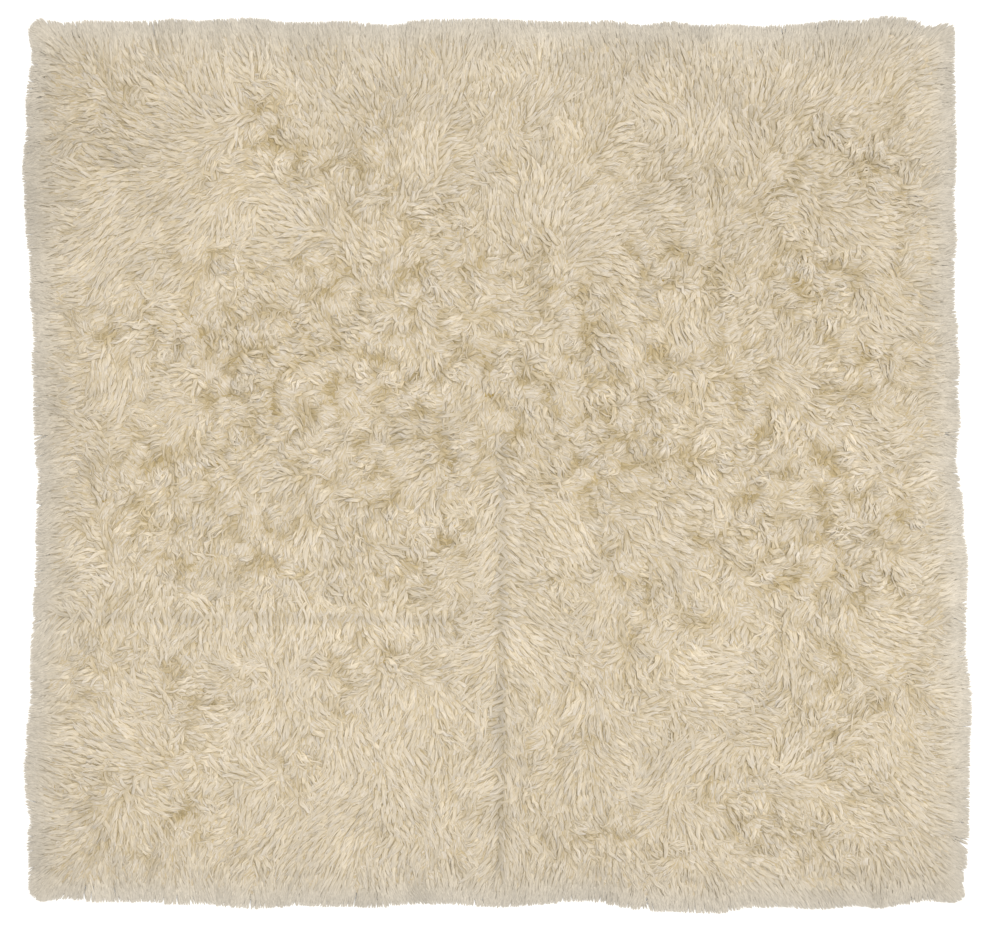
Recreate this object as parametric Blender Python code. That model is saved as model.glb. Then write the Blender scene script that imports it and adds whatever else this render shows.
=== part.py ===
"""Flokati rug: a nearly square wool rug with a long shaggy pile, lying flat on the floor.

The rug is woven in one piece, so it is one solid: a lumpy slab as thick as the lying pile, with
pointed locks of pile all round its rim. Its sides wander in and out as the real rug's do, and the
pile dips along the two creases where the rug was once folded.

Frame: +Z up, the origin on the floor below the middle of the rug, +X across the width, +Y along
the length. Units are metres, and millimetres where a name or a table says so.
"""

import math

import bmesh
import bpy
from mathutils import Vector, noise

# The rug's size over the tips of its rim locks.
WIDTH = 2.000
LENGTH = 1.890
MM = 0.001

# The pile as it lies. The rim is lower, because there the locks fall outwards to the floor.
PILE_HEIGHT = 0.040
RIM_HEIGHT = 0.024
SHOULDER = 0.110
CORNER_ROUNDING = 0.022
CORNER_SHARPNESS = 26

# The lumps of tangled pile: Perlin noise of two sizes.
LUMP_SIZE = 0.165
LUMP_HEIGHT = 0.0085
KNOT_SIZE = 0.062
KNOT_HEIGHT = 0.0055

# The grid of the pile's surface, and the locks of the rim: two to each cell along a side.
COLUMNS = 35
ROWS = 33
LOCK_LENGTH = 0.027
LOCK_UNEVENNESS = 0.22
LOCK_LEAN = 0.007
LOCK_WANDER = 0.006
TIP_HEIGHT = 0.0025

# A lock's sections from root to tip. Columns: share of its length, width and height beside the root's.
LOCK_SECTIONS = (
    (0.42, 0.80, 0.70),
    (0.78, 0.46, 0.36),
)

# How far each side stands in from the straight line of the nominal rectangle.
# Columns: share of the side from its left or bottom end, inset in millimetres.
LEFT_SIDE = (
    (0.01, 9), (0.04, 6), (0.09, 14), (0.12, 3), (0.17, 9), (0.22, 19), (0.30, 20), (0.36, 27),
    (0.44, 32), (0.55, 24), (0.65, 23), (0.73, 17), (0.79, 7), (0.84, 3), (0.92, 9), (0.97, 11),
)
RIGHT_SIDE = (
    (0.04, 2), (0.12, 1), (0.22, 0), (0.30, 11), (0.36, 2), (0.41, 11), (0.47, 19), (0.49, 30),
    (0.55, 22), (0.60, 24), (0.71, 36), (0.79, 28), (0.81, 35), (0.87, 29), (0.92, 33), (0.97, 31),
)
BOTTOM_SIDE = (
    (0.02, 23), (0.05, 20), (0.10, 28), (0.15, 20), (0.20, 13), (0.35, 13), (0.43, 18), (0.50, 10),
    (0.55, 20), (0.59, 25), (0.66, 6), (0.73, 1), (0.81, 12), (0.86, 8), (0.91, 15), (0.96, 21),
)
TOP_SIDE = (
    (0.03, 1), (0.09, 7), (0.15, 1), (0.18, 8), (0.20, 1), (0.28, 8), (0.33, 6), (0.38, 13),
    (0.43, 1), (0.51, 5), (0.61, 5), (0.69, 10), (0.79, 17), (0.84, 11), (0.89, 4), (0.96, 0),
)

# The creases where the pile parts. Columns: the crease's start and end, and its depth and half width.
CREASES = (
    ((0.010, 0.080), (0.004, -0.900), 0.0090, 0.034),
    ((-0.960, -0.318), (-0.080, -0.326), 0.0080, 0.032),
)

WOOL_COLOUR = (0.66, 0.57, 0.42, 1.0)
WOOL_ROUGHNESS = 0.92


def eased(share):
    """A share from 0 to 1, with a soft start and end."""
    share = min(max(share, 0.0), 1.0)
    return share * share * (3.0 - 2.0 * share)


def inset_at(side, share):
    """How far a side stands in at this share of its length, in metres, read smoothly from its table."""
    if share <= side[0][0]:
        return side[0][1] * MM
    for (start, before), (end, after) in zip(side, side[1:]):
        if share <= end:
            part = eased((share - start) / (end - start))
            return (before + (after - before) * part) * MM
    return side[-1][1] * MM


def plan_point(across, along):
    """The place on the floor of a point of the slab, given from -1 to 1 across and along the rug."""
    right, up = (across + 1.0) / 2.0, (along + 1.0) / 2.0
    left_edge = -WIDTH / 2 + inset_at(LEFT_SIDE, up) + LOCK_LENGTH
    right_edge = WIDTH / 2 - inset_at(RIGHT_SIDE, up) - LOCK_LENGTH
    low_edge = -LENGTH / 2 + inset_at(BOTTOM_SIDE, right) + LOCK_LENGTH
    high_edge = LENGTH / 2 - inset_at(TOP_SIDE, right) - LOCK_LENGTH
    drawn_in = CORNER_ROUNDING * abs(across * along) ** CORNER_SHARPNESS
    return (
        left_edge + (right_edge - left_edge) * right - math.copysign(drawn_in, across),
        low_edge + (high_edge - low_edge) * up - math.copysign(drawn_in, along),
    )


def crease_depth(x, y):
    """How far the pile dips here because of the creases."""
    depth = 0.0
    for start, end, deepest, half_width in CREASES:
        run = Vector(end) - Vector(start)
        share = (Vector((x, y)) - Vector(start)).dot(run) / run.length_squared
        nearest = Vector(start) + run * min(max(share, 0.0), 1.0)
        distance = (Vector((x, y)) - nearest).length
        depth = max(depth, deepest * math.exp(-((distance / half_width) ** 2)))
    return depth


def pile_height(across, along, x, y):
    """The height of the pile's surface above the floor."""
    from_side = (1.0 - abs(across)) * WIDTH / 2
    from_end = (1.0 - abs(along)) * LENGTH / 2
    inside = math.sqrt(eased(min(from_side, from_end) / SHOULDER))
    lumps = LUMP_HEIGHT * noise.noise(Vector((x, y, 0.0)) / LUMP_SIZE)
    knots = KNOT_HEIGHT * noise.noise(Vector((x, y, 1.0)) / KNOT_SIZE)
    tangle = (lumps + knots) * (0.35 + 0.65 * inside)
    return RIM_HEIGHT + (PILE_HEIGHT - RIM_HEIGHT) * inside + tangle - crease_depth(x, y) * inside


def shaped_slab(mesh):
    """The slab without its locks: the pile's surface, the flat underside and the wall between them.

    Returns the wall's faces, one for each lock.
    """
    bmesh.ops.create_grid(mesh, x_segments=COLUMNS, y_segments=ROWS, size=1.0)
    rim = [edge for edge in mesh.edges if edge.is_boundary]
    bmesh.ops.subdivide_edges(mesh, edges=rim, cuts=1)
    surface = bmesh.ops.extrude_face_region(mesh, geom=mesh.faces[:])["geom"]
    raised = {item for item in surface if isinstance(item, bmesh.types.BMVert)}
    for vertex in mesh.verts:
        across, along = vertex.co.x, vertex.co.y
        x, y = plan_point(across, along)
        vertex.co = (x, y, pile_height(across, along, x, y) if vertex in raised else 0.0)
    bmesh.ops.recalc_face_normals(mesh, faces=mesh.faces)
    return [face for face in mesh.faces if 0 < sum(corner in raised for corner in face.verts) < len(face.verts)]


def lean_of(root):
    """How far a lock's tip leans along the rim: away from the middle of the side, and a little at random."""
    fan = Vector((root.x / (WIDTH / 2), root.y / (LENGTH / 2), 0.0)) * LOCK_LEAN
    wander = noise.noise(root / KNOT_SIZE) * LOCK_WANDER
    return fan + Vector((wander, -wander, 0.0))


def draw_out_lock(mesh, wall):
    """Draws one face of the wall out into a pointed lock of four sides, level along the floor."""
    root = wall.calc_center_median()
    outward = Vector((wall.normal.x, wall.normal.y, 0.0)).normalized()
    uneven = 1.0 + LOCK_UNEVENNESS * noise.noise(Vector((root.x, root.y, 2.0)) / (0.5 * KNOT_SIZE))
    reach = outward * LOCK_LENGTH * uneven + lean_of(root)
    foot = Vector((root.x, root.y, 0.0))
    corners = [corner.co.copy() for corner in wall.verts]
    end = wall
    for share, width, height in LOCK_SECTIONS:
        end = bmesh.ops.extrude_discrete_faces(mesh, faces=[end])["faces"][0]
        for vertex, corner in zip(end.verts, corners):
            from_foot = Vector((corner.x, corner.y, 0.0)) - foot
            place = foot + from_foot * width + reach * share
            vertex.co = (place.x, place.y, corner.z * height)
    tip = bmesh.ops.poke(mesh, faces=[end])["verts"][0]
    tip.co = (foot.x + reach.x, foot.y + reach.y, TIP_HEIGHT)


def fit_to_size(mesh):
    """Centres the rug on the origin and brings it to its width and length over the tips."""
    for axis, size in ((0, WIDTH), (1, LENGTH)):
        low = min(vertex.co[axis] for vertex in mesh.verts)
        high = max(vertex.co[axis] for vertex in mesh.verts)
        for vertex in mesh.verts:
            vertex.co[axis] = (vertex.co[axis] - (low + high) / 2) * size / (high - low)


def wool_material():
    """Undyed ivory wool, with no gloss."""
    material = bpy.data.materials.new("ivory_wool_pile")
    material.use_nodes = True
    shader = material.node_tree.nodes["Principled BSDF"]
    shader.inputs["Base Color"].default_value = WOOL_COLOUR
    shader.inputs["Roughness"].default_value = WOOL_ROUGHNESS
    shader.inputs["Metallic"].default_value = 0.0
    return material


def make_rug(collection):
    """The rug as one closed solid."""
    mesh = bmesh.new()
    for wall in shaped_slab(mesh):
        draw_out_lock(mesh, wall)
    fit_to_size(mesh)
    bmesh.ops.triangulate(mesh, faces=mesh.faces, quad_method="BEAUTY", ngon_method="BEAUTY")
    data = bpy.data.meshes.new("flokati_rug")
    mesh.to_mesh(data)
    mesh.free()
    data.materials.append(wool_material())
    data.shade_smooth()
    data.set_sharp_from_angle(angle=math.radians(50))
    rug = bpy.data.objects.new("flokati_rug", data)
    collection.objects.link(rug)
    return rug


for old in list(bpy.data.objects):
    bpy.data.objects.remove(old)
parts = bpy.data.collections.new("flokati_rug")
bpy.context.scene.collection.children.link(parts)
make_rug(parts)
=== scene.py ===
"""Flokati rug of undyed ivory wool: woven ground, dense pile and single crimped locks, seen from straight above.

Units are metres, and millimetres where a name or a table says so. +X is across the rug, +Y along it, +Z up.
"""

import math

import bmesh
import bpy
import numpy as np
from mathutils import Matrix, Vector
from mathutils.bvhtree import BVHTree
from mathutils.kdtree import KDTree


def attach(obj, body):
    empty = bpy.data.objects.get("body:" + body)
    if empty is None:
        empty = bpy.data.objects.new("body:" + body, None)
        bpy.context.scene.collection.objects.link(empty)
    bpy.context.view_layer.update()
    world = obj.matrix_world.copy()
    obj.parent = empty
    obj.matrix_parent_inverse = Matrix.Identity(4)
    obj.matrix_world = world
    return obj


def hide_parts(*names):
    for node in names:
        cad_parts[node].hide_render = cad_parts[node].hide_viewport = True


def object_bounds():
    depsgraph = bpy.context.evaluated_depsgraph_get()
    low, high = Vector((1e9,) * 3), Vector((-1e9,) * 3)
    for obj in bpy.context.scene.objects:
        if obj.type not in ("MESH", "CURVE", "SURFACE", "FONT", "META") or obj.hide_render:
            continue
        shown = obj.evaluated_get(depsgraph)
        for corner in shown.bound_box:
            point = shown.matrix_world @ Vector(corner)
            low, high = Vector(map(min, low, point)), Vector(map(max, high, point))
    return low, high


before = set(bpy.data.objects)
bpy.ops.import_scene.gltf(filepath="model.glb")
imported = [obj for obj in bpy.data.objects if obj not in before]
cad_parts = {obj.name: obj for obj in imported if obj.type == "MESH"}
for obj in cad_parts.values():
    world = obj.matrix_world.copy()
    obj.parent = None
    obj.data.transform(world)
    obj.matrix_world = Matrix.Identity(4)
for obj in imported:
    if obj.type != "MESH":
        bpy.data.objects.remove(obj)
cad_low, cad_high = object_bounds()

RNG = np.random.default_rng(407)
MM = 0.001

# The rug's shape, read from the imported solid: the tips of its rim locks and the height of its pile.
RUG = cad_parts["flokati_rug"]
TIP_HEIGHT = 0.0025
CORNER_RADIUS = 0.026
SURVEY_STEP = 0.010
# Where each side lies at its two corners, from the bottom or the left, in metres.
SIDE_ENDS = {"left": (-0.986, -0.986), "right": (0.991, 0.963), "bottom": (-0.918, -0.920), "top": (0.940, 0.942)}

# The woven ground under the pile.
GROUND_INSET = 0.022
GROUND_THICKNESS = 0.0035
GROUND_THREAD = 0.0030

# The dense mat of pile that shows between the locks.
MAT_INSET = 0.024
MAT_DEPTH = 0.0043
MAT_CELLS = (150, 142)
MAT_FLOOR = 0.0020

# The locks of pile: flat ones of many yarn ends felted together, thin single ends over them, and the fine
# fringe that ends in the rug's rim. Columns: spacing and spacing near the rim, length, width and thickness in
# metres, how high it lies, how far it swings from side to side, how much its heading strays in radians, how
# far past the solid's rim it ends.
LOCK_KINDS = {
    "felted": (0.0164, 0.0140, 0.066, 0.0108, 0.0012, 0.0000, 0.0022, 0.16, 0.004),
    "single": (0.0162, 0.0150, 0.058, 0.0042, 0.0013, 0.0004, 0.0027, 0.24, 0.008),
    "fringe": (0.0000, 0.0064, 0.046, 0.0042, 0.0013, 0.0006, 0.0010, 0.09, 0.009),
}
# How each kind is shaped along its length. Columns: share of the length, share of the full width.
LOCK_SHAPES = {
    "felted": ((0.0, 0.70), (0.16, 1.00), (0.34, 1.00), (0.52, 0.86), (0.70, 0.62), (0.87, 0.30), (1.0, 0.0)),
    "single": ((0.0, 0.75), (0.26, 1.00), (0.52, 0.95), (0.78, 0.62), (1.0, 0.0)),
    "fringe": ((0.0, 0.75), (0.36, 1.00), (0.80, 0.85), (1.0, 0.0)),
}
RIM_BAND = (0.022, 0.070)
FRINGE_BAND = (0.012, 0.050)
CORNER_FAN = 0.065
CRIMP_LENGTH = 0.030
RAGGEDNESS = 0.24
TIP_SPREAD = 0.0012
PIECE_TRIANGLES = 180000
SHADING_ROUNDNESS = 0.55
BEND_ROOM = 1.3
BARE_CELL = 0.0125
BARE_COUNT = 1
WIDEST_LOCK = 0.0108

# Depths below the pile's surface over which painted crevice shade deepens, and the tufts that the locks gather in,
# and the finer clumps that their tips draw together in.
CREVICE = (0.0030, 0.0085)
TUFT_SPACING = 0.044
TUFT_TURN = 0.72
TUFT_CURL = 0.85
TUFT_DOME = 0.0080
CLUMP_SPACING = 0.024
CLUMP_DRAW = 0.45

# Where the pile spreads out from, and how strongly it follows that spread, the rim and its own wandering.
SPREAD_FROM = (0.00, 0.26)
SPREAD_PULL = 0.75
RIM_PULL = 3.0
RIM_REACH = 0.115
WANDER_SIZE = 0.21
WANDER_PULL = 1.05

# Patches combed one way. Columns: x and y of the middle in metres, radius in metres,
# heading in degrees from +X, how strongly combed, how much paler than the rest.
COMBED = (
    (0.150, -0.150, 0.075, -48, 1.0, 0.7),
    (0.060, -0.405, 0.070, -48, 1.0, 0.6),
    (0.455, -0.455, 0.085, -8, 1.0, 0.7),
    (-0.180, 0.660, 0.060, 95, 0.8, 0.6),
    (0.350, 0.740, 0.075, 132, 1.0, 0.6),
    (0.175, 0.690, 0.060, 110, 0.8, 0.5),
    (0.455, 0.675, 0.055, 80, 0.8, 0.5),
    (-0.805, 0.185, 0.070, -96, 0.9, 0.6),
    (0.390, 0.315, 0.060, -86, 0.8, 0.5),
    (0.800, 0.315, 0.070, -40, 0.9, 0.5),
    (-0.390, -0.165, 0.055, -92, 0.8, 0.5),
    (-0.196, -0.520, 0.060, -110, 0.8, 0.5),
    (-0.475, -0.520, 0.060, -100, 0.8, 0.5),
    (0.880, -0.190, 0.070, 6, 0.8, 0.4),
    (0.830, -0.350, 0.070, -12, 0.8, 0.4),
    (0.230, -0.300, 0.060, -88, 0.8, 0.6),
)

# Patches that are tangled most. Columns: x and y of the middle in metres, radius in metres.
SNARLED = (
    (-0.520, 0.150, 0.090),
    (-0.520, 0.370, 0.080),
    (-0.690, -0.030, 0.110),
    (0.330, 0.350, 0.090),
    (0.150, 0.130, 0.090),
    (0.200, -0.020, 0.090),
    (0.230, -0.200, 0.060),
    (0.300, -0.440, 0.070),
    (0.620, 0.400, 0.090),
    (0.880, -0.180, 0.060),
    (-0.260, -0.320, 0.060),
    (-0.160, 0.400, 0.060),
    (-0.430, 0.700, 0.080),
    (0.720, 0.620, 0.070),
)

# Whorls, where the pile turns round a point. Columns: x and y in metres, radius in metres, turn (1 left, -1 right).
WHORLS = (
    (0.316, 0.383, 0.055, 1),
    (0.562, 0.104, 0.050, -1),
    (0.562, -0.176, 0.050, 1),
    (-0.560, 0.150, 0.050, -1),
    (-0.330, 0.420, 0.050, 1),
)

# Painted light and shade: broad stretches that are darker, mostly towards the sides, the top and the corners, or
# paler. Columns: x and y of the middle in metres, radius in metres, share paler.
PAINTED_LIGHT_AND_SHADE = (
    (-0.880, 0.780, 0.170, -0.075),
    (-0.900, 0.550, 0.140, -0.075),
    (-0.750, 0.640, 0.110, -0.025),
    (-0.900, -0.800, 0.150, -0.080),
    (-0.860, -0.470, 0.150, -0.045),
    (-0.850, -0.200, 0.130, -0.025),
    (-0.550, 0.820, 0.110, -0.025),
    (0.350, 0.830, 0.100, -0.040),
    (0.760, 0.840, 0.150, -0.040),
    (0.900, 0.300, 0.140, -0.015),
    (0.860, -0.840, 0.130, -0.050),
    (0.700, -0.420, 0.090, -0.025),
    (0.200, -0.200, 0.060, -0.025),
    (0.080, -0.140, 0.100, 0.035),
    (0.090, -0.400, 0.090, 0.035),
    (-0.200, -0.600, 0.080, 0.030),
    (0.350, -0.450, 0.120, 0.025),
    (-0.330, 0.260, 0.200, 0.020),
    (-0.900, 0.120, 0.140, -0.040),
    (0.980, 0.100, 0.120, -0.020),
    (0.980, -0.300, 0.120, -0.025),
    (-0.450, -0.900, 0.120, 0.025),
    (0.000, -0.900, 0.120, 0.025),
    (-0.150, 0.700, 0.200, -0.025),
    (0.380, 0.620, 0.180, -0.020),
    (0.780, 0.550, 0.150, -0.025),
    (-0.500, -0.720, 0.180, -0.025),
    (0.050, -0.780, 0.150, -0.020),
)

# Partings, where the pile falls away to both sides of a line. Columns: start, end, half width in metres,
# slant of the fall towards the line's end, pull.
PARTINGS = (
    ((0.012, 0.080), (0.006, -0.900), 0.055, 0.80, 2.2),
    ((-0.960, -0.318), (-0.080, -0.326), 0.045, 0.10, 1.7),
)

COMBED_PALER = 0.07
# How much painted shade darkens the groove along each parting.
PARTING_PAINTED_SHADE = 0.095

# Colours as sRGB hex.
WOOL_TIP = "D3CCC1"
WOOL_BODY = "CFC7BB"
WOOL_ROOT = "C9BCA2"
WOOL_RIM = "C2BCB1"
# Painted shade for the crevices deep in the pile.
PAINTED_CREVICE_SHADE = "AB9A74"
# Painted shade for the flanks and undersides of the locks.
PAINTED_FLANK_SHADE = "A8925E"
MAT_COLOUR = "BBAB8A"
GROUND_COLOUR = "D9CCB2"
FLOOR_COLOUR = "FBFBFB"
WORLD_COLOUR = "FFF8EB"

# The view: straight down, the photo's 983 by 930 frame at 2.11 mm a pixel.
VIEW_WIDTH = 983 * 2.11 * MM
VIEW_SHIFT = -5.6 * 2.11 * MM
VIEW_HEIGHT = 6.0
SENSOR = 36.0


def linear(code):
    """A linear colour from its sRGB hex code."""
    parts = [int(code[i : i + 2], 16) / 255 for i in (0, 2, 4)]
    return [p / 12.92 if p <= 0.04045 else ((p + 0.055) / 1.055) ** 2.4 for p in parts] + [1.0]


def eased(share):
    """Shares from 0 to 1, with a soft start and end."""
    share = np.clip(share, 0.0, 1.0)
    return share * share * (3.0 - 2.0 * share)


class Ripple:
    """A smooth random field over the rug, from -1 to 1, with lumps of one size."""

    def __init__(self, size):
        self.size = size
        self.values = RNG.uniform(-1.0, 1.0, (int(2.6 / size) + 4, int(2.6 / size) + 4))

    def __call__(self, x, y):
        across, along = (x + 1.3) / self.size + 0.5, (y + 1.3) / self.size + 0.5
        i = np.clip(across.astype(int), 0, len(self.values) - 2)
        j = np.clip(along.astype(int), 0, len(self.values) - 2)
        s, t = eased(across - i), eased(along - j)
        low = self.values[i, j] * (1 - s) + self.values[i + 1, j] * s
        high = self.values[i, j + 1] * (1 - s) + self.values[i + 1, j + 1] * s
        return low * (1 - t) + high * t


def rim_sides():
    """Where the rim locks end on each side: positions along the side and the side's place, in order."""
    points = np.array([vertex.co[:] for vertex in RUG.data.vertices])
    tips = points[np.abs(points[:, 2] - TIP_HEIGHT) < 0.0002]
    upright = np.abs(tips[:, 0]) / cad_high.x > np.abs(tips[:, 1]) / cad_high.y
    sides = {}
    for name, chosen, along in (
        ("left", upright & (tips[:, 0] < 0), 1),
        ("right", upright & (tips[:, 0] > 0), 1),
        ("bottom", ~upright & (tips[:, 1] < 0), 0),
        ("top", ~upright & (tips[:, 1] > 0), 0),
    ):
        side = tips[chosen]
        side = side[np.argsort(side[:, along])][4:-4]
        place = np.convolve(np.pad(side[:, 1 - along], 2, mode="edge"), np.ones(5) / 5, "valid")
        first, last = SIDE_ENDS[name]
        reach = 0.97 * cad_high[along]
        sides[name] = (np.array([-reach, *side[:, along], reach]), np.array([first, *place, last]))
    return sides


SIDES = rim_sides()


def side_at(name, position):
    """The place of one side's rim at these positions along it."""
    return np.interp(position, *SIDES[name])


def side_distances(x, y):
    """How far points are from the left, right, bottom and top sides."""
    return x - side_at("left", y), side_at("right", y) - x, y - side_at("bottom", x), side_at("top", x) - y


def from_rim(x, y):
    """How far points are in from the rim, and the outward direction of the nearest stretch of rim."""
    left, right, low, high = side_distances(x, y)
    across, along = np.minimum(left, right), np.minimum(low, high)
    to_x, to_y = np.where(left < right, -1.0, 1.0), np.where(low < high, -1.0, 1.0)
    short_x, short_y = CORNER_RADIUS - across, CORNER_RADIUS - along
    corner = (short_x > 0) & (short_y > 0)
    inset = np.where(corner, CORNER_RADIUS - np.hypot(short_x, short_y), np.minimum(across, along))
    near_x = np.exp(-np.maximum(across, 0.0) / 0.03)
    near_y = np.exp(-np.maximum(along, 0.0) / 0.03)
    total = np.hypot(near_x, near_y) + 1e-9
    return inset, to_x * near_x / total, to_y * near_y / total


def surveyed_heights():
    """The height of the solid's pile on a square grid, from rays straight down."""
    tree = BVHTree.FromObject(RUG, bpy.context.evaluated_depsgraph_get())
    xs = np.arange(-1.02, 1.0201, SURVEY_STEP)
    heights = np.zeros((len(xs), len(xs)))
    down = Vector((0.0, 0.0, -1.0))
    for i, x in enumerate(xs):
        for j, y in enumerate(xs):
            hit = tree.ray_cast(Vector((x, y, 1.0)), down)[0]
            heights[i, j] = hit.z if hit else 0.0
    return heights


HEIGHTS = surveyed_heights()


def pile_top(x, y):
    """The height of the pile's surface, which runs out to the floor at the rim."""
    across, along = (x + 1.02) / SURVEY_STEP, (y + 1.02) / SURVEY_STEP
    i = np.clip(across.astype(int), 0, len(HEIGHTS) - 2)
    j = np.clip(along.astype(int), 0, len(HEIGHTS) - 2)
    s, t = np.clip(across - i, 0, 1), np.clip(along - j, 0, 1)
    low = HEIGHTS[i, j] * (1 - s) + HEIGHTS[i + 1, j] * s
    high = HEIGHTS[i, j + 1] * (1 - s) + HEIGHTS[i + 1, j + 1] * s
    inset = from_rim(x, y)[0]
    falling = 0.004 + 0.021 * (np.clip(inset, 0.0, 0.05) / 0.05) ** 0.8
    inside = eased((inset - 0.03) / 0.04)
    return falling * (1 - inside) + np.maximum(low * (1 - t) + high * t, 0.02) * inside


def plan(across, along, inset):
    """Places on the floor of points from -1 to 1 across and along the rug, drawn in from the rim."""
    x, y = across * cad_high.x, along * cad_high.y
    left, right = side_at("left", y) + inset, side_at("right", y) - inset
    low, high = side_at("bottom", x) + inset, side_at("top", x) - inset
    drawn = 0.012 * np.abs(across * along) ** 26
    px = left + (right - left) * (across + 1) / 2 - np.sign(across) * drawn
    py = low + (high - low) * (along + 1) / 2 - np.sign(along) * drawn
    return px, py


def new_piece(name, mesh, material):
    """A finished piece that rides with the rug and stands for its solid."""
    piece = bpy.data.objects.new(name, mesh)
    bpy.context.scene.collection.objects.link(piece)
    mesh.materials.append(material)
    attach(piece, "root")
    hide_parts("flokati_rug")
    return piece


def flat_layer(name, cells, inset, height_of, underside):
    """A closed layer over the whole rug: a surface at height_of(x, y) and a flat underside."""
    shape = bmesh.new()
    bmesh.ops.create_grid(shape, x_segments=cells[0], y_segments=cells[1], size=1.0)
    places = np.array([vertex.co[:2] for vertex in shape.verts])
    x, y = plan(places[:, 0], places[:, 1], inset)
    for vertex, px, py, pz in zip(shape.verts, x, y, height_of(x, y)):
        vertex.co = (px, py, pz)
    rim = [edge for edge in shape.edges if edge.is_boundary]
    wall = bmesh.ops.extrude_edge_only(shape, edges=rim)["geom"]
    for vertex in (item for item in wall if isinstance(item, bmesh.types.BMVert)):
        vertex.co.z = underside
    foot = [edge for edge in shape.edges if edge.is_boundary]
    bmesh.ops.contextual_create(shape, geom=foot)
    bmesh.ops.recalc_face_normals(shape, faces=shape.faces)
    bmesh.ops.triangulate(shape, faces=[face for face in shape.faces if len(face.verts) > 4])
    mesh = bpy.data.meshes.new(name)
    shape.to_mesh(mesh)
    shape.free()
    mesh.shade_smooth()
    mesh.set_sharp_from_angle(angle=math.radians(60))
    return mesh


class Lock:
    """One straight lock of a kind as arrays, made once and copied along every such lock's path."""

    def __init__(self, kind):
        self.shares, self.fullness = np.array(LOCK_SHAPES[kind]).T
        last = len(self.shares) - 1
        shape = bmesh.new()
        bmesh.ops.create_circle(shape, cap_ends=True, segments=3, radius=1.0)
        ends = list(shape.faces)
        for share in self.shares[1:-1]:
            ends = bmesh.ops.extrude_discrete_faces(shape, faces=ends)["faces"]
            for vertex in ends[0].verts:
                vertex.co.z = share
        tip = bmesh.ops.poke(shape, faces=ends)["verts"][0]
        tip.co = (0.0, 0.0, 1.0)
        bmesh.ops.contextual_create(shape, geom=[edge for edge in shape.edges if edge.is_boundary])
        bmesh.ops.recalc_face_normals(shape, faces=shape.faces)
        shape.verts.index_update()
        co = np.array([vertex.co[:] for vertex in shape.verts])
        self.ring = np.argmin(np.abs(co[:, 2][:, None] - self.shares), axis=1)
        angle = np.arctan2(co[:, 1], co[:, 0])
        corner = np.round((angle - angle[0]) / (2 * math.pi) * 3) % 3
        self.side = np.sin(2 * math.pi * corner / 3) * (self.ring < last)
        self.up = np.cos(2 * math.pi * corner / 3) * (self.ring < last)
        around = (1 - corner) % 3  # the map's seam runs below the lock
        self.loops, self.starts, strand, under = [], [], [], []
        for face in shape.faces:
            self.starts.append(len(self.loops))
            index = [vertex.index for vertex in face.verts]
            turns = [around[k] for k in index if self.ring[k] < last]
            wraps = 0 in turns and 2 in turns
            cap = all(self.ring[k] == 0 for k in index)
            under += [all(self.up[k] <= 0.0 for k in index)] * len(index)
            for k in index:
                turn = around[k] + (3 if wraps and around[k] == 0 else 0)
                if self.ring[k] == last:
                    turn = sum(t + (3 if wraps and t == 0 else 0) for t in turns) / 2
                along = self.shares[self.ring[k]]
                strand.append((around[k] / 3, 0.03 * (around[k] == 1)) if cap else (turn / 3, 0.05 + 0.95 * along))
                self.loops.append(k)
        self.strand, self.under = np.array(strand), np.array(under)
        self.triangles = sum(len(face.verts) - 2 for face in shape.faces)
        shape.free()
        if self.winding() < 0:
            self.side = -self.side

    def winding(self):
        """Above zero if the faces point outwards when side, up and along are a right-handed frame."""
        co = np.column_stack((self.side, self.up, self.shares[self.ring]))
        ends = self.starts[1:] + [len(self.loops)]
        total = 0.0
        for start, end in zip(self.starts, ends):
            corners = co[self.loops[start:end]]
            for k in range(1, len(corners) - 1):
                total += np.dot(corners[0], np.cross(corners[k], corners[k + 1]))
        return total


def scattered(spacing, jitter):
    """Points all over the rug on a loose grid."""
    xs = np.arange(-1.02, 1.02, spacing)
    x, y = (axis.ravel() for axis in np.meshgrid(xs, xs))
    x = x + RNG.uniform(-jitter, jitter, x.shape) * spacing
    y = y + RNG.uniform(-jitter, jitter, y.shape) * spacing
    return x, y


def nearest(x, y, centre_x, centre_y):
    """The index of the nearest centre to each point."""
    tree = KDTree(len(centre_x))
    for k, place in enumerate(zip(centre_x, centre_y)):
        tree.insert((*place, 0.0), k)
    tree.balance()
    return np.array([tree.find((px, py, 0.0))[1] for px, py in zip(x, y)])


# Where the pile is tangled and where it is smooth: the size of the patches, and how sharply they part.
TANGLE_SIZE = 0.085
TANGLE = [Ripple(TANGLE_SIZE), Ripple(2.4 * TANGLE_SIZE)]


def tangled(x, y, combed):
    """How tangled the pile is, from 0 where it is combed smooth to 1."""
    across_band = 0.38 * np.exp(-(((y - 0.04) / 0.42) ** 4)) - 0.20
    rough = 0.46 + across_band + 0.62 * TANGLE[0](x, y) + 0.25 * TANGLE[1](x, y)
    for centre_x, centre_y, radius in SNARLED:
        rough = rough + 0.6 * np.exp(-(((x - centre_x) ** 2 + (y - centre_y) ** 2) / radius**2))
    return np.clip(rough, 0.0, 1.0) * (1.0 - combed)


WANDER = [Ripple(WANDER_SIZE), Ripple(WANDER_SIZE), Ripple(0.5 * WANDER_SIZE), Ripple(0.5 * WANDER_SIZE)]


def along_and_off(x, y, start, end):
    """How far points lie along a line, and off it to its left, with the line's length and direction."""
    run = np.subtract(end, start)
    length = math.hypot(*run)
    run = run / length
    along = (x - start[0]) * run[0] + (y - start[1]) * run[1]
    return along, (y - start[1]) * run[0] - (x - start[0]) * run[1], length, run


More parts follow.
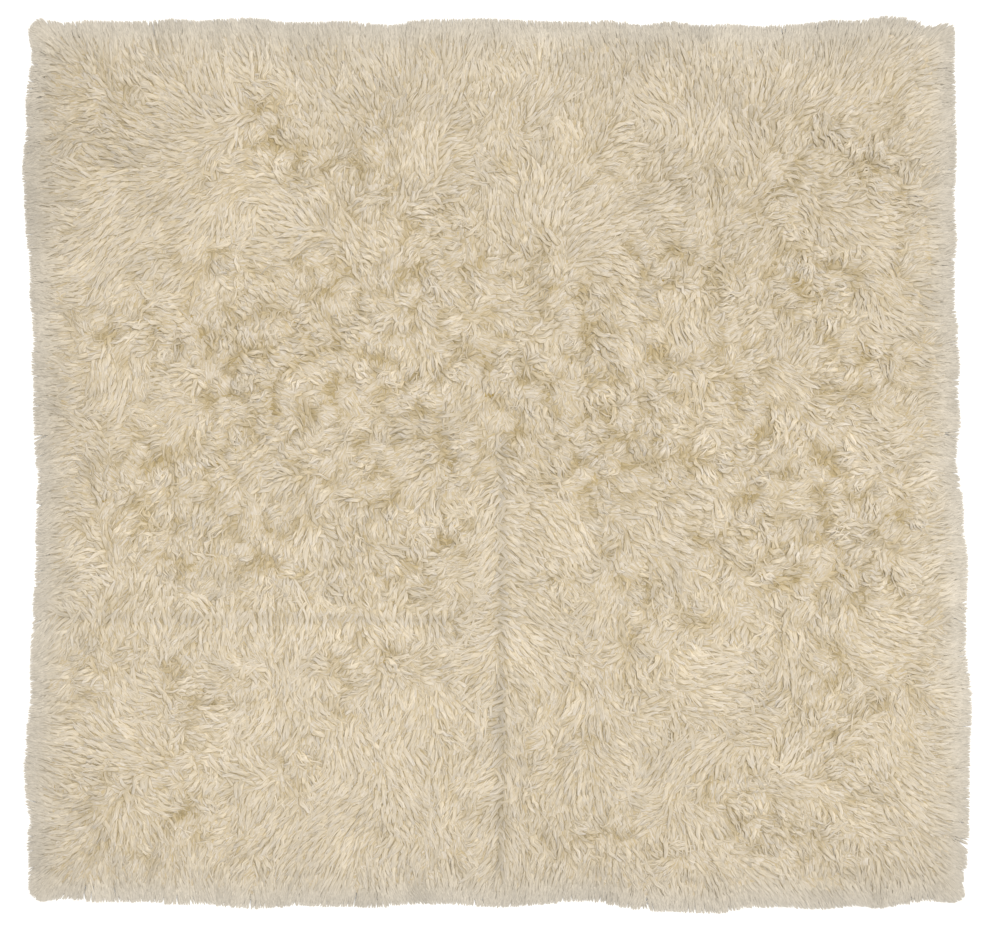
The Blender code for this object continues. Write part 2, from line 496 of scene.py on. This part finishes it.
def flow(x, y):
    """The way the pile lies at these points, as angles, and how combed it is there, from 0 to 1."""
    inset, out_x, out_y = from_rim(x, y)
    from_x, from_y = x - SPREAD_FROM[0], y - SPREAD_FROM[1]
    away = np.hypot(from_x, from_y) + 1e-6
    spread = SPREAD_PULL * eased(away / 0.45) / away
    rim = RIM_PULL * np.exp(-((np.maximum(inset, 0.0) / RIM_REACH) ** 2))
    wander_x = WANDER_PULL * (WANDER[0](x, y) + 0.6 * WANDER[2](x, y))
    wander_y = WANDER_PULL * (WANDER[1](x, y) + 0.6 * WANDER[3](x, y))
    to_x = from_x * spread + wander_x + rim * out_x
    to_y = from_y * spread + wander_y + rim * out_y
    combed = 0.75 * np.exp(-((np.maximum(inset, 0.0) / RIM_REACH) ** 4))
    for start, end, half_width, slant, pull in PARTINGS:
        along, off, length, run = along_and_off(x, y, start, end)
        near = np.exp(-((off / half_width) ** 2)) * eased(along / 0.05) * eased((length - along) / 0.05)
        side = np.sign(off)
        to_x = to_x + pull * near * (side * -run[1] + slant * run[0])
        to_y = to_y + pull * near * (side * run[0] + slant * run[1])
        combed = np.maximum(combed, 0.8 * near)
    for centre_x, centre_y, radius, turn in WHORLS:
        near = 2.2 * np.exp(-(((x - centre_x) ** 2 + (y - centre_y) ** 2) / radius**2))
        to_x = to_x - turn * near * (y - centre_y) / radius
        to_y = to_y + turn * near * (x - centre_x) / radius
    for centre_x, centre_y, radius, heading, strength, _ in COMBED:
        near = strength * np.exp(-(((x - centre_x) ** 2 + (y - centre_y) ** 2) / radius**2) ** 2)
        to_x = to_x * (1 - near) + 3.0 * near * math.cos(math.radians(heading))
        to_y = to_y * (1 - near) + 3.0 * near * math.sin(math.radians(heading))
        combed = np.maximum(combed, near)
    return np.arctan2(to_y, to_x), combed


def paleness_and_painted_shade(x, y):
    """How much paler the pile is here, as a share: more where it is combed, with painted light and shade over broad
    stretches, and less in the partings, where painted shade marks their grooves.
    """
    pale = np.zeros(len(x))
    for centre_x, centre_y, radius, _, _, paler in COMBED:
        near = np.exp(-(((x - centre_x) ** 2 + (y - centre_y) ** 2) / radius**2) ** 2)
        pale = np.maximum(pale, COMBED_PALER * paler * near)
    # Painted light and shade over broad stretches.
    for centre_x, centre_y, radius, paler in PAINTED_LIGHT_AND_SHADE:
        pale = pale + paler * np.exp(-((x - centre_x) ** 2 + (y - centre_y) ** 2) / radius**2)
    # Painted shade in the groove along each parting.
    for start, end, half_width, _, pull in PARTINGS:
        along, off, length, _ = along_and_off(x, y, start, end)
        near = np.exp(-((off / (0.18 * half_width)) ** 2)) * eased(along / 0.05) * eased((length - along) / 0.05)
        pale = pale - PARTING_PAINTED_SHADE * pull * near
    return pale


def lock_roots(kind):
    """The places that locks of one kind grow from: all over the ground, and closer together along its rim."""
    spacing, rim_spacing = LOCK_KINDS[kind][:2]
    start, end = FRINGE_BAND if kind == "fringe" else RIM_BAND
    rim_x, rim_y = scattered(rim_spacing, 0.45)
    inset = from_rim(rim_x, rim_y)[0]
    band = (inset > start) & (inset <= end)
    if kind == "fringe":
        more_x, more_y = scattered(0.8 * rim_spacing, 0.45)
        left, right, low, high = side_distances(more_x, more_y)
        corner = np.maximum(np.minimum(left, right), np.minimum(low, high)) < CORNER_FAN
        corner &= from_rim(more_x, more_y)[0] > start
        return np.append(rim_x[band], more_x[corner]), np.append(rim_y[band], more_y[corner])
    x, y = scattered(spacing, 0.45)
    field = from_rim(x, y)[0] > end
    return np.append(x[field], rim_x[band]), np.append(y[field], rim_y[band])


TUFTS = scattered(TUFT_SPACING, 0.48)
TUFT_COUNT = len(TUFTS[0])
TUFT_TURNS = RNG.normal(0.0, TUFT_TURN, TUFT_COUNT)
TUFT_CURLS = RNG.normal(0.0, TUFT_CURL, TUFT_COUNT)
TUFT_LENGTHS = RNG.uniform(0.86, 1.12, TUFT_COUNT)
TUFT_WAVES = CRIMP_LENGTH * RNG.uniform(0.82, 1.20, TUFT_COUNT)
TUFT_LIFTS = RNG.normal(0.0, 0.0012, TUFT_COUNT)
TUFT_TONES = RNG.normal(0.0, 0.034, TUFT_COUNT)
CLUMPS = scattered(CLUMP_SPACING, 0.48)


def tuft_height(x, y, tuft, loose):
    """How far the pile rises in the middle of each tuft and sinks between the tufts, more where it is loose."""
    from_middle = ((x - TUFTS[0][tuft]) ** 2 + (y - TUFTS[1][tuft]) ** 2) / (0.55 * TUFT_SPACING) ** 2
    return TUFT_DOME * (0.5 - np.minimum(from_middle, 1.1)) * loose


def sunkenness(x, y, z):
    """How deep points lie below the pile's surface, from 0 on it to 1 in the crevices, which sets how much painted
    shade they get.
    """
    return np.clip((pile_top(x, y) - z - CREVICE[0]) / (CREVICE[1] - CREVICE[0]), 0.0, 1.0)


def bare_places(paths):
    """The places that no lock lies over yet, on a grid of the rug."""
    edges = np.arange(-1.02, 1.02, BARE_CELL)
    middle = edges[:-1] + BARE_CELL / 2
    lying = paths[:, 1:].reshape(-1, 3)
    count = np.histogram2d(lying[:, 0], lying[:, 1], bins=(edges, edges))[0]
    x, y = (axis.ravel() for axis in np.meshgrid(middle, middle, indexing="ij"))
    bare = (count.ravel() < BARE_COUNT) & (from_rim(x, y)[0] > RIM_BAND[0])
    return x[bare] + RNG.uniform(-0.3, 0.3, bare.sum()) * BARE_CELL, y[bare]


def lock_paths(kind, shares, x, y, over=False):
    """The path of every lock of one kind as rings of points, with its width, thickness, inset and tuft.

    The locks grow from x, y, or lie over it with their middles.
    """
    _, _, lengths, widths, thicknesses, lifts, swings, strays, beyond = LOCK_KINDS[kind]
    count = len(x)
    inset = from_rim(x, y)[0]
    heading, combed = flow(x, y)

    tuft = nearest(x, y, *TUFTS)
    rough = tangled(x, y, combed)
    loose = 0.25 + 0.75 * rough
    outer = np.exp(-((inset / 0.085) ** 2))
    heading = heading + TUFT_TURNS[tuft] * loose * (1.0 - 0.7 * outer) + RNG.normal(0.0, strays, count) * (0.5 + 0.9 * rough) * (1.0 - 0.7 * outer)
    curl = (TUFT_CURLS[tuft] + RNG.normal(0.0, 0.28, count)) * (0.3 + 1.0 * rough)

    length = lengths * TUFT_LENGTHS[tuft] * RNG.uniform(0.80, 1.16, count) * (1.08 - 0.25 * rough)
    curl = curl * (1.0 - 0.75 * outer)
    if over:
        x, y = x - 0.5 * length * np.cos(heading + 0.3 * curl), y - 0.5 * length * np.sin(heading + 0.3 * curl)
        inset = from_rim(x, y)[0]
    wave = TUFT_WAVES[tuft]
    start = x * np.cos(heading) + y * np.sin(heading)
    phase = 2 * math.pi * start / wave + RNG.normal(0.0, 0.35, count)
    swing = swings * RNG.uniform(0.45, 1.35, count) * (0.5 + 0.9 * rough) * (1.0 - 0.5 * outer)

    clump_x, clump_y = CLUMPS
    clump = nearest(x, y, clump_x, clump_y)
    aside = -(clump_x[clump] - x) * np.sin(heading) + (clump_y[clump] - y) * np.cos(heading)
    aside = CLUMP_DRAW * (1.0 - outer) * aside / (1.0 + 0.6 * curl**2)

    s = shares[None, :]
    angle = heading[:, None] + curl[:, None] * s
    end_at = RNG.normal(-beyond, TIP_SPREAD, count)
    for _ in range(4):
        step = np.diff(shares, prepend=0.0)[None, :] * length[:, None]
        px = x[:, None] + np.cumsum(np.cos(angle) * step, axis=1)
        py = y[:, None] + np.cumsum(np.sin(angle) * step, axis=1)
        bend = 2 * math.pi * length[:, None] * s / wave[:, None]
        offset = swing[:, None] * np.sin(phase[:, None] + bend) * eased(s * 5) + aside[:, None] * s**1.4
        px, py = px - np.sin(angle) * offset, py + np.cos(angle) * offset
        tip = from_rim(px[:, -1], py[:, -1])[0]
        outward = inset - tip > 0.35 * length
        to_rim = np.clip((inset - end_at) / np.maximum(inset - tip, 0.004), 0.55, 1.25)
        short = (outer > 0.45) & outward & (length < 1.3 * lengths)
        length = np.where((tip < end_at) | short, length * np.where(outward, to_rim, 0.8), length)

    flat_x, flat_y = px.ravel(), py.ravel()
    top = pile_top(flat_x, flat_y).reshape(px.shape)
    out = np.clip(from_rim(flat_x, flat_y)[0].reshape(px.shape) / 0.06, 0.0, 1.0)
    dome = tuft_height(px, py, tuft[:, None], loose[:, None])
    layer = (lifts + RNG.uniform(-0.0014, 0.0009, count) * (0.15 + 1.15 * rough) + TUFT_LIFTS[tuft] * loose)[:, None]
    rise = -0.008 * (1 - eased(s / 0.20)) - 0.0042 * eased((s - 0.6) / 0.4)
    ripple = 0.0008 * np.sin(phase[:, None] * 1.7 + bend / 0.8)
    pz = top + (layer + dome + ripple) * (0.25 + 0.75 * out) + rise * (0.35 + 0.65 * out) - 0.002
    pz = np.maximum(pz, 0.0022)

    size = RNG.uniform(0.70, 1.20, count) * (1.0 - 0.30 * outer)
    return np.stack((px, py, pz), axis=2), widths * size, thicknesses * size, inset, rough, tuft


def widest_at_bends(paths):
    """How wide each lock may be at each of its rings without folding over on the inside of a bend."""
    steps = np.diff(paths[:, :, :2], axis=1)
    headings = np.unwrap(np.arctan2(steps[:, :, 1], steps[:, :, 0]), axis=1)
    turns = np.abs(np.diff(headings, axis=1))
    lengths = np.linalg.norm(steps, axis=2)
    widest = BEND_ROOM * np.minimum(lengths[:, 1:], lengths[:, :-1]) / np.maximum(turns, 0.01)
    widest = widest * (1.0 - 0.9 * eased((turns - 0.9) / 0.8))
    widest = np.pad(widest, ((0, 0), (1, 1)), mode="edge")
    padded = np.pad(widest, ((0, 0), (1, 1)), mode="edge")
    return np.minimum(widest, np.minimum(padded[:, :-2], padded[:, 2:]))


def lock_piece(name, lock, paths, width, thickness, tone, rim, rough, material):
    """Many locks joined in one mesh, with their tones and the maps that their fibres follow."""
    count, rings = paths.shape[:2]
    points = len(lock.ring)
    along = np.gradient(paths, axis=1)
    along /= np.linalg.norm(along, axis=2, keepdims=True) + 1e-12
    side = np.stack((-along[:, :, 1], along[:, :, 0], np.zeros((count, rings))), axis=2)
    side /= np.linalg.norm(side, axis=2, keepdims=True) + 1e-9
    roll = RNG.uniform(-0.08, 0.08, count)[:, None, None]
    up = np.cross(along, side)
    side, up = side * np.cos(roll) + up * np.sin(roll), up * np.cos(roll) - side * np.sin(roll)
    ragged = 1.0 + RAGGEDNESS * RNG.uniform(-1.0, 1.0, (count, points))
    fullness = lock.fullness[lock.ring] * ragged
    breadths = np.minimum(width[:, None] * fullness, widest_at_bends(paths)[:, lock.ring])
    across = side[:, lock.ring] * (breadths * lock.side / math.sqrt(3))[:, :, None]
    upward = up[:, lock.ring] * (thickness[:, None] * fullness * lock.up / 1.5)[:, :, None]
    co = paths[:, lock.ring] + across + upward
    co[:, :, 2] = np.maximum(co[:, :, 2], 0.0004)

    corners, faces = len(lock.loops), len(lock.starts)
    mesh = bpy.data.meshes.new(name)
    mesh.vertices.add(count * points)
    mesh.vertices.foreach_set("co", co.ravel())
    mesh.loops.add(count * corners)
    index = np.array(lock.loops)[None, :] + np.arange(count)[:, None] * points
    mesh.loops.foreach_set("vertex_index", index.ravel())
    mesh.polygons.add(count * faces)
    starts = np.array(lock.starts)[None, :] + np.arange(count)[:, None] * corners
    mesh.polygons.foreach_set("loop_start", starts.ravel())
    mesh.update(calc_edges=True)
    mesh.shade_smooth()
    # Wool is soft: light spreads through a lock, so the shading of its flanks leans towards the crest.
    outward = side[:, lock.ring] * lock.side[None, :, None] + up[:, lock.ring] * lock.up[None, :, None]
    normals = up[:, lock.ring] + SHADING_ROUNDNESS * outward
    downward = -up[:, lock.ring][:, lock.loops]
    normals = np.where(lock.under[None, :, None], downward, normals[:, lock.loops])
    mesh.normals_split_custom_set(normals.reshape(-1, 3))

    strand = np.tile(lock.strand, (count, 1))
    mesh.uv_layers.new(name="strand").data.foreach_set("uv", strand.ravel())
    cells = math.ceil(math.sqrt(count))
    cell = np.arange(count)
    corner = np.stack((cell % cells, cell // cells), axis=1)[:, None, :]
    atlas = (corner + 0.06 + 0.88 * lock.strand[None, :, :]) / cells
    mesh.uv_layers.new(name="OFBake").data.foreach_set("uv", atlas.ravel())
    mesh.uv_layers["strand"].active = True
    x, y, z = (paths[:, :, axis].ravel() for axis in range(3))
    # How deep each point lies, which sets its painted crevice shade.
    sunken = sunkenness(x, y, z).reshape(count, rings)[:, lock.ring]
    # Tone, with the painted light and shade of broad stretches and the partings' painted shade.
    tone = tone[:, None] + paleness_and_painted_shade(x, y).reshape(count, rings)[:, lock.ring]
    lot = np.repeat(RNG.uniform(0.0, 1.0, count), points)
    breadth = np.repeat(width / WIDEST_LOCK, points)
    for word, values in (
        ("tone", tone.ravel()),
        ("sunken", sunken.ravel()),
        ("rim", np.repeat(rim, points)),
        ("lot", lot),
        ("breadth", breadth),
        ("loose", np.repeat(rough, points)),
    ):
        mesh.attributes.new(word, "FLOAT", "POINT").data.foreach_set("value", values)
    return new_piece(name, mesh, material)


def node(tree, kind, inputs=None, **settings):
    """Adds a shader node, with its settings, and its inputs as values or links."""
    made = tree.nodes.new(kind)
    for name, value in settings.items():
        setattr(made, name, value)
    for name, value in (inputs or {}).items():
        if isinstance(value, bpy.types.NodeSocket):
            tree.links.new(value, made.inputs[name])
        else:
            made.inputs[name].default_value = value
    return made


def material(name):
    """A new material's tree and its Principled shader."""
    made = bpy.data.materials.new(name)
    made.use_nodes = True
    return made, made.node_tree, made.node_tree.nodes["Principled BSDF"]


def mixed(tree, factor, first, second, kind="MIX"):
    """One colour mixed into another."""
    made = node(tree, "ShaderNodeMix", {"Factor": factor}, data_type="RGBA", blend_type=kind)
    for socket, value in ((made.inputs[6], first), (made.inputs[7], second)):
        if isinstance(value, bpy.types.NodeSocket):
            tree.links.new(value, socket)
        else:
            socket.default_value = value
    return made.outputs[2]


def toned(tree, colour, tone):
    """A colour made darker or paler by a tone near 1."""
    grey = node(tree, "ShaderNodeCombineColor", {"Red": tone, "Green": tone, "Blue": tone}).outputs["Color"]
    return mixed(tree, 1.0, colour, grey, "MULTIPLY")


def lock_wool():
    """Crimped ivory wool: darker and warmer at the root, paler at the tip, with fine fibres along each lock, and
    painted shade in the crevices and on each lock's flanks and underside.
    """
    made, tree, shader = material("ivory_wool_locks")
    strand = node(tree, "ShaderNodeUVMap", uv_map="strand").outputs["UV"]
    parts = node(tree, "ShaderNodeSeparateXYZ", {"Vector": strand})
    tone = node(tree, "ShaderNodeAttribute", attribute_name="tone").outputs["Fac"]
    rim = node(tree, "ShaderNodeAttribute", attribute_name="rim").outputs["Fac"]
    lot = node(tree, "ShaderNodeAttribute", attribute_name="lot").outputs["Fac"]
    breadth = node(tree, "ShaderNodeAttribute", attribute_name="breadth").outputs["Fac"]
    tipward = node(
        tree, "ShaderNodeMapRange", {"Value": parts.outputs["Y"], "From Min": 0.05, "From Max": 0.75}
    ).outputs["Result"]
    body = mixed(tree, tipward, linear(WOOL_ROOT), linear(WOOL_BODY))
    pale = node(
        tree, "ShaderNodeMapRange", {"Value": parts.outputs["Y"], "From Min": 0.55, "From Max": 1.0}
    ).outputs["Result"]
    body = mixed(tree, pale, body, linear(WOOL_TIP))
    sunken = node(tree, "ShaderNodeAttribute", attribute_name="sunken").outputs["Fac"]
    # Painted shade: points deep below the pile's surface turn dark ochre.
    body = mixed(tree, sunken, body, linear(PAINTED_CREVICE_SHADE))
    # The crest of a lock runs along a third of the map's width; its flanks and underside lie past the crest and get
    # painted shade in dark ochre.
    from_crest = node(
        tree, "ShaderNodeMath", {0: parts.outputs["X"], 1: 1.0 / 3.0}, operation="SUBTRACT"
    ).outputs["Value"]
    from_crest = node(tree, "ShaderNodeMath", {0: from_crest}, operation="ABSOLUTE").outputs["Value"]
    flank_shade = node(
        tree, "ShaderNodeMapRange", {"Value": from_crest, "From Min": 0.25, "From Max": 0.34}
    ).outputs["Result"]
    body = mixed(tree, flank_shade, body, linear(PAINTED_FLANK_SHADE))
    body = mixed(tree, rim, body, linear(WOOL_RIM))
    # Yarn ends of 5 mm or so, drawn out along the lock, crimped from side to side and different on each one.
    turns = node(
        tree, "ShaderNodeMath", {0: parts.outputs["Y"], 1: 19.0, 2: lot}, operation="MULTIPLY_ADD"
    ).outputs["Value"]
    swing = node(tree, "ShaderNodeMath", {0: turns}, operation="SINE").outputs["Value"]
    swung = node(
        tree, "ShaderNodeMath", {0: swing, 1: 0.12, 2: parts.outputs["X"]}, operation="MULTIPLY_ADD"
    ).outputs["Value"]
    across = node(tree, "ShaderNodeMath", {0: swung, 1: breadth}, operation="MULTIPLY").outputs["Value"]
    place = node(
        tree, "ShaderNodeCombineXYZ", {"X": across, "Y": parts.outputs["Y"], "Z": lot}
    ).outputs["Vector"]
    drawn = node(
        tree, "ShaderNodeMapping", {"Vector": place, "Scale": (6.2, 2.0, 90.0)}
    ).outputs["Vector"]
    fibres = node(tree, "ShaderNodeTexNoise", {"Vector": drawn, "Scale": 1.0, "Detail": 2.0}).outputs["Fac"]
    streak = node(
        tree,
        "ShaderNodeMapRange",
        {"Value": fibres, "From Min": 0.3, "From Max": 0.7, "To Min": 0.72, "To Max": 1.13},
    ).outputs["Result"]
    loose = node(tree, "ShaderNodeAttribute", attribute_name="loose").outputs["Fac"]
    contrast = node(
        tree, "ShaderNodeMapRange", {"Value": loose, "To Min": 0.75, "To Max": 1.10}
    ).outputs["Result"]
    streak = node(tree, "ShaderNodeMath", {0: streak, 1: 1.0}, operation="SUBTRACT").outputs["Value"]
    streak = node(
        tree, "ShaderNodeMath", {0: streak, 1: contrast, 2: 1.0}, operation="MULTIPLY_ADD"
    ).outputs["Value"]
    shade = node(tree, "ShaderNodeMath", {0: tone, 1: streak}, operation="MULTIPLY").outputs["Value"]
    colour = toned(tree, body, shade)
    bump = node(tree, "ShaderNodeBump", {"Height": fibres, "Strength": 0.9, "Distance": 0.0024})
    tree.links.new(colour, shader.inputs["Base Color"])
    tree.links.new(bump.outputs["Normal"], shader.inputs["Normal"])
    shader.inputs["Roughness"].default_value = 0.85
    shader.inputs["Specular IOR Level"].default_value = 0.12
    return made


def comb_mat(mesh):
    """Gives the mat a map in metres whose second axis runs the way each tuft lies."""
    corners = len(mesh.loops)
    points = np.zeros(len(mesh.vertices) * 3)
    mesh.vertices.foreach_get("co", points)
    index, polygon = np.zeros(corners, int), np.zeros(corners, int)
    mesh.loops.foreach_get("vertex_index", index)
    for face in mesh.polygons:
        polygon[face.loop_start : face.loop_start + face.loop_total] = face.index
    centres = np.zeros(len(mesh.polygons) * 3)
    mesh.polygons.foreach_get("center", centres)
    centres = centres.reshape(-1, 3)
    tuft = nearest(centres[:, 0], centres[:, 1], *TUFTS)[polygon]
    heading = flow(TUFTS[0], TUFTS[1])[0][tuft] + 0.6 * TUFT_TURNS[tuft]
    off = points.reshape(-1, 3)[index, :2] - np.column_stack(TUFTS)[tuft]
    across = off[:, 1] * np.cos(heading) - off[:, 0] * np.sin(heading) + 0.37 * tuft
    along = off[:, 0] * np.cos(heading) + off[:, 1] * np.sin(heading)
    mesh.uv_layers.new(name="strand").data.foreach_set("uv", np.column_stack((across, along)).ravel())
    x, y, z = points.reshape(-1, 3).T
    # The depth that sets the mat's painted shade, and its tone with painted light and shade.
    for word, values in (("sunken", 0.4 * sunkenness(x, y, z)), ("tone", 1.0 + paleness_and_painted_shade(x, y))):
        mesh.attributes.new(word, "FLOAT", "POINT").data.foreach_set("value", values)


def mat_wool():
    """The dense pile below the locks: matted yarn ends 5 mm apart that lie the way each tuft does, with painted
    shade where it lies deep.
    """
    made, tree, shader = material("matted_wool_pile")
    strand = node(tree, "ShaderNodeUVMap", uv_map="strand").outputs["UV"]
    drawn = node(tree, "ShaderNodeMapping", {"Vector": strand, "Scale": (290.0, 36.0, 1.0)}).outputs["Vector"]
    tangle = node(tree, "ShaderNodeTexNoise", {"Vector": drawn, "Scale": 1.0, "Detail": 3.0, "Distortion": 1.4})
    ends = node(
        tree, "ShaderNodeMapRange", {"Value": tangle.outputs["Fac"], "From Min": 0.36, "From Max": 0.60}
    ).outputs["Result"]
    sunken = node(tree, "ShaderNodeAttribute", attribute_name="sunken").outputs["Fac"]
    colour = mixed(tree, ends, linear(MAT_COLOUR), linear(WOOL_BODY))
    # Painted shade where the mat lies deep below the pile's surface.
    colour = mixed(tree, sunken, colour, linear(PAINTED_CREVICE_SHADE))
    colour = toned(tree, colour, node(tree, "ShaderNodeAttribute", attribute_name="tone").outputs["Fac"])
    bump = node(tree, "ShaderNodeBump", {"Height": tangle.outputs["Fac"], "Strength": 0.9, "Distance": 0.004})
    tree.links.new(colour, shader.inputs["Base Color"])
    tree.links.new(bump.outputs["Normal"], shader.inputs["Normal"])
    shader.inputs["Roughness"].default_value = 0.95
    shader.inputs["Specular IOR Level"].default_value = 0.2
    return made


def woven_wool():
    """Plain weave of undyed wool yarn, its threads 3 mm apart both ways."""
    made, tree, shader = material("woven_wool_ground")
    place = node(tree, "ShaderNodeTexCoord").outputs["Object"]
    turns = 1.0 / (2.0 * GROUND_THREAD)
    waves = []
    for direction in ("X", "Y"):
        wave = node(
            tree,
            "ShaderNodeTexWave",
            {"Vector": place, "Scale": turns * 0.314, "Distortion": 0.6, "Detail": 1.0},
            bands_direction=direction,
        )
        waves.append(wave.outputs["Fac"])
    weave = node(tree, "ShaderNodeMath", {0: waves[0], 1: waves[1]}, operation="MAXIMUM").outputs["Value"]
    colour = mixed(tree, weave, linear(WOOL_ROOT), linear(GROUND_COLOUR))
    bump = node(tree, "ShaderNodeBump", {"Height": weave, "Strength": 0.7, "Distance": 0.001})
    tree.links.new(colour, shader.inputs["Base Color"])
    tree.links.new(bump.outputs["Normal"], shader.inputs["Normal"])
    shader.inputs["Roughness"].default_value = 0.9
    shader.inputs["Specular IOR Level"].default_value = 0.25
    return made


def make_rug():
    """The rug's pieces: ground, mat and locks."""
    ground = new_piece(
        "ground_weave",
        flat_layer(
            "ground_weave", (40, 38), GROUND_INSET, lambda x, y: np.full(len(x), GROUND_THICKNESS), 0.0
        ),
        woven_wool(),
    )
    grains = Ripple(0.018)

    def mat_height(x, y):
        loose = 0.25 + 0.75 * tangled(x, y, flow(x, y)[1])
        tufted = tuft_height(x, y, nearest(x, y, *TUFTS), loose)
        return np.maximum(pile_top(x, y) - MAT_DEPTH + tufted + 0.0012 * grains(x, y), GROUND_THICKNESS + 0.001)

    mat_mesh = flat_layer("pile_mat", MAT_CELLS, MAT_INSET, mat_height, MAT_FLOOR)
    comb_mat(mat_mesh)
    mat = new_piece("pile_mat", mat_mesh, mat_wool())

    wool, piles = lock_wool(), []
    broad, middling, small = Ripple(0.40), Ripple(0.13), Ripple(0.055)
    for kind in LOCK_KINDS:
        lock = Lock(kind)
        x, y = lock_roots(kind)
        made = [lock_paths(kind, lock.shares, x, y)]
        if kind == "felted":
            bare_x, bare_y = bare_places(made[0][0])
            made.append(lock_paths(kind, lock.shares, bare_x, bare_y, over=True))
            x, y = np.append(x, bare_x), np.append(y, bare_y)
        paths, width, thickness, inset, rough, tuft = (np.concatenate(values) for values in zip(*made))
        tone = 0.985 + 0.036 * broad(x, y) + 0.038 * middling(x, y) + 0.036 * small(x, y) + 0.02 * rough
        tone = tone + TUFT_TONES[tuft] + RNG.normal(0.0, 0.014, len(x))
        rim = 0.85 * np.exp(-((inset / 0.08) ** 2))
        order = np.argsort(np.floor((y + 1.0) / 2.0 * 6) * 10 + x)
        parts = math.ceil(len(x) * lock.triangles / PIECE_TRIANGLES)
        for k, chosen in enumerate(np.array_split(order, parts)):
            looks = (values[chosen] for values in (paths, width, thickness, tone, rim, rough))
            piles.append(lock_piece(f"{kind}_locks_{k + 1}", lock, *looks, wool))
        print(kind, "locks:", len(x), "triangles:", len(x) * lock.triangles, "pieces:", parts)


def make_room():
    """A pale floor, one broad soft light a little to the right overhead, and even light from all round."""
    shape = bmesh.new()
    bmesh.ops.create_grid(shape, x_segments=1, y_segments=1, size=6.0)
    bmesh.ops.translate(shape, verts=shape.verts, vec=(0.0, 0.0, -0.0002))
    mesh = bpy.data.meshes.new("floor")
    shape.to_mesh(mesh)
    shape.free()
    floor = bpy.data.objects.new("floor", mesh)
    bpy.context.scene.collection.objects.link(floor)
    made, _, shader = material("pale_floor")
    shader.inputs["Base Color"].default_value = linear(FLOOR_COLOUR)
    shader.inputs["Roughness"].default_value = 0.9
    shader.inputs["Specular IOR Level"].default_value = 0.1
    mesh.materials.append(made)

    lamp = bpy.data.lights.new("overhead_softbox", "SUN")
    lamp.energy, lamp.angle = 2.75, math.radians(34)
    light = bpy.data.objects.new("overhead_softbox", lamp)
    light.location = (0.80, 0.50, 3.9)
    light.rotation_euler = (-light.location).to_track_quat("-Z", "Y").to_euler()
    bpy.context.scene.collection.objects.link(light)

    world = bpy.data.worlds.new("even_light")
    bpy.context.scene.world = world
    world.use_nodes = True
    world.node_tree.nodes["Background"].inputs["Color"].default_value = linear(WORLD_COLOUR)
    world.node_tree.nodes["Background"].inputs["Strength"].default_value = 0.58


def make_camera():
    """A long lens straight above the rug."""
    data = bpy.data.cameras.new("camera")
    data.sensor_width = SENSOR
    data.lens = SENSOR * (VIEW_HEIGHT - 0.03) / VIEW_WIDTH
    camera = bpy.data.objects.new("camera", data)
    camera.location = (VIEW_SHIFT, 0.0, VIEW_HEIGHT)
    bpy.context.scene.collection.objects.link(camera)
    bpy.context.scene.camera = camera
    bpy.context.scene.view_settings.view_transform = "Standard"


make_rug()
make_room()
make_camera()
